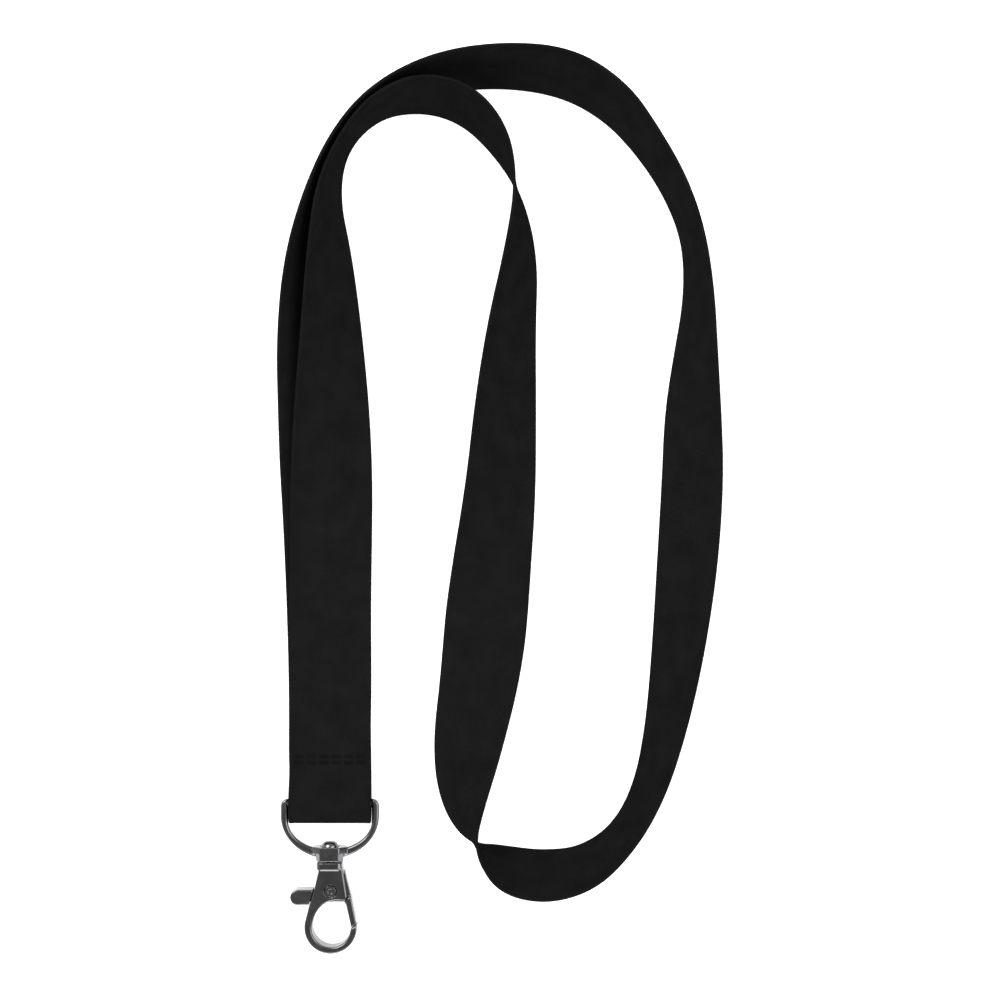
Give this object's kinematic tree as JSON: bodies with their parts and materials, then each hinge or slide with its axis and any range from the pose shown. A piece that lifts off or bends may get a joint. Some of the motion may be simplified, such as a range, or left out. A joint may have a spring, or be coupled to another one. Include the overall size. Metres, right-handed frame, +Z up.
{
  "type": "neck lanyard",
  "caption": "Flat woven neck lanyard: a ribbon loop sewn round a D-ring that carries a swivelling metal lobster hook with a spring gate.",
  "frame": {"origin": "the middle of the back of the ring and hook, on the surface that the lanyard lies on", "axes": "+Y from the hook to the ribbon, +Z up out of the surface, +X to the right seen from above"},
  "size_m": [0.1067, 0.218, 0.0203],
  "materials": {
    "ribbon": "fine woven polyester ribbon, matte black",
    "thread": "black polyester sewing thread",
    "cast_metal": "zinc casting with a polished gunmetal plating",
    "lever_metal": "pressed steel with a polished gunmetal plating",
    "pin_metal": "turned steel with a gunmetal plating",
    "spring_wire": "bright spring wire"
  },
  "bodies": {
    "strap": {"strap": "ribbon", "stitching": "thread"},
    "ring": {"d_ring": "cast_metal"},
    "hook": {"hook_body": "cast_metal", "swivel_pin": "pin_metal", "pivot_rivet": "pin_metal", "torsion_spring": "spring_wire"},
    "gate": {"gate_lever": "lever_metal"}
  },
  "joints": [
    {"name": "ring_swing", "type": "hinge", "parent": "strap", "child": "ring", "pos_m": [0, 0.01785, 0.0028], "axis": [1, 0, 0], "range_deg": [-120, 120]},
    {"name": "hook_swivel", "type": "hinge", "parent": "ring", "child": "hook", "pos_m": [0, 0.0036, 0.0028], "axis": [0, 1, 0], "continuous": true},
    {"name": "gate_open", "type": "hinge", "parent": "hook", "child": "gate", "pos_m": [0.00025, -0.0033, 0.0028], "axis": [0, 0, -1], "range_deg": [0, 25], "stiffness_Nm_per_rad": 0.05, "springref_deg": -17.19, "deforming": ["torsion_spring"]}
  ]
}
